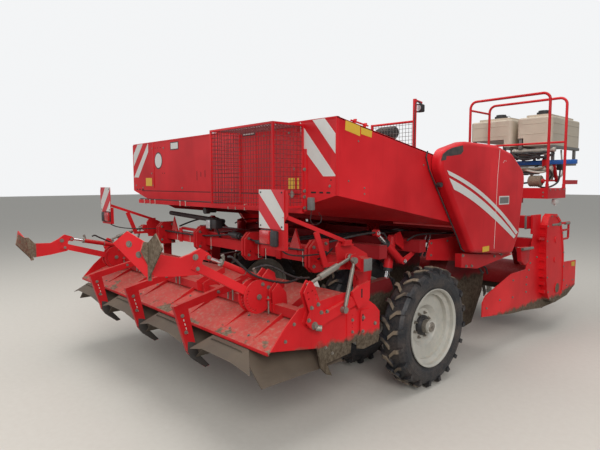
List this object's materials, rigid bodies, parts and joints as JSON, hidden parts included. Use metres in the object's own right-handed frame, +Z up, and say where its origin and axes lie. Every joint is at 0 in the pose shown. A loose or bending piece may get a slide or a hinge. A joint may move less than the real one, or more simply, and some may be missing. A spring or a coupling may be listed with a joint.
{
  "type": "potato planter",
  "caption": "Trailed potato planter with a wide tipping hopper, front power tiller, planting units, drive wheels, rear ridging hood with tines and furrow-dam paddles, platform and tanks",
  "frame": {"origin": "centre of the footprint box on the ground plane", "axes": "+Z up, +Y along the machine towards the drawbar eye, +X towards the machine's right side"},
  "size_m": [3.76, 7.7558, 3.047],
  "materials": {
    "red_paint": "gloss red paint, worn and dusty",
    "tyre_rubber": "matt black rubber",
    "rim_silver": "silver paint",
    "worn_steel": "bare steel scoured by soil",
    "tank_plastic": "translucent cream plastic",
    "cradle_blue": "blue paint",
    "board_white": "reflective sheeting with red diagonal bars"
  },
  "bodies": {
    "frame": {"main_frame": "red_paint", "frame_brackets": "red_paint", "drawbar": "red_paint", "wheel_arm_right": "red_paint", "wheel_arm_left": "red_paint", "height_cylinder_right": "red_paint", "height_cylinder_left": "red_paint", "planting_unit_1": "red_paint", "planting_unit_2": "red_paint", "planting_unit_3": "red_paint", "planting_unit_4": "red_paint", "seed_bunker": "red_paint", "side_cover_right": "red_paint", "side_cover_left": "red_paint", "tiller_beam": "red_paint", "tiller_hood": "red_paint", "tiller_side_right": "red_paint", "tiller_side_left": "red_paint", "platform": "red_paint", "platform_bracket": "red_paint", "platform_rails": "red_paint", "tank_cradle": "cradle_blue", "tank_inner": "tank_plastic", "tank_outer": "tank_plastic", "lamp_mast": "red_paint", "toolbar": "red_paint", "warning_board_right": "board_white", "warning_board_left": "board_white"},
    "wheel_outer_right": {"tyre_outer_right": "tyre_rubber", "rim_outer_right": "rim_silver"},
    "wheel_outer_left": {"tyre_outer_left": "tyre_rubber", "rim_outer_left": "rim_silver"},
    "wheel_inner_right": {"tyre_inner_right": "tyre_rubber", "rim_inner_right": "rim_silver"},
    "wheel_inner_left": {"tyre_inner_left": "tyre_rubber", "rim_inner_left": "rim_silver"},
    "hopper": {"hopper": "red_paint", "hopper_cage": "red_paint"},
    "ridging_hood": {"hood_sheet": "red_paint", "hood_side_right": "red_paint", "hood_side_left": "red_paint", "ridge_former_1": "worn_steel", "ridge_former_2": "worn_steel", "ridge_former_3": "worn_steel", "ridge_former_4": "worn_steel", "hood_links": "red_paint", "tine_left": "red_paint", "tine_centre": "red_paint", "tine_right": "red_paint", "dyker_mount_right": "red_paint", "dyker_mount_left": "red_paint"},
    "dyker_right": {"dyker_arm_right": "red_paint", "dyker_ram_right": "red_paint"},
    "dyker_left": {"dyker_arm_left": "red_paint", "dyker_ram_left": "red_paint"},
    "rotor": {"tiller_rotor": "red_paint"},
    "jack": {"jack_leg": "red_paint"}
  },
  "joints": [
    {"name": "wheel_outer_right_turn", "type": "hinge", "parent": "frame", "child": "wheel_outer_right", "pos_m": [1.694, -1.095, 0.57], "axis": [1, 0, 0], "continuous": true},
    {"name": "wheel_outer_left_turn", "type": "hinge", "parent": "frame", "child": "wheel_outer_left", "pos_m": [-1.694, -1.095, 0.57], "axis": [1, 0, 0], "continuous": true},
    {"name": "wheel_inner_right_turn", "type": "hinge", "parent": "frame", "child": "wheel_inner_right", "pos_m": [0.87, -1.095, 0.57], "axis": [1, 0, 0], "continuous": true},
    {"name": "wheel_inner_left_turn", "type": "hinge", "parent": "frame", "child": "wheel_inner_left", "pos_m": [-0.87, -1.095, 0.57], "axis": [1, 0, 0], "continuous": true},
    {"name": "hopper_tip", "type": "hinge", "parent": "frame", "child": "hopper", "pos_m": [0, -0.575, 1.425], "axis": [-1, 0, 0], "range_deg": [0, 20]},
    {"name": "hood_lift", "type": "hinge", "parent": "frame", "child": "ridging_hood", "pos_m": [0, -2, 0.8], "axis": [-1, 0, 0], "range_deg": [-6, 10]},
    {"name": "dyker_right_swing", "type": "hinge", "parent": "ridging_hood", "child": "dyker_right", "pos_m": [1.35, -2.845, 1.075], "axis": [-1, 0, 0], "range_deg": [-60, 6]},
    {"name": "dyker_left_swing", "type": "hinge", "parent": "ridging_hood", "child": "dyker_left", "pos_m": [-1.35, -2.845, 1.075], "axis": [-1, 0, 0], "range_deg": [-48, 18]},
    {"name": "rotor_turn", "type": "hinge", "parent": "frame", "child": "rotor", "pos_m": [0, 1.655, 0.52], "axis": [1, 0, 0], "continuous": true},
    {"name": "jack_slide", "type": "slide", "parent": "frame", "child": "jack", "axis": [0, 0, 1], "range_m": [0, 0.33]}
  ]
}
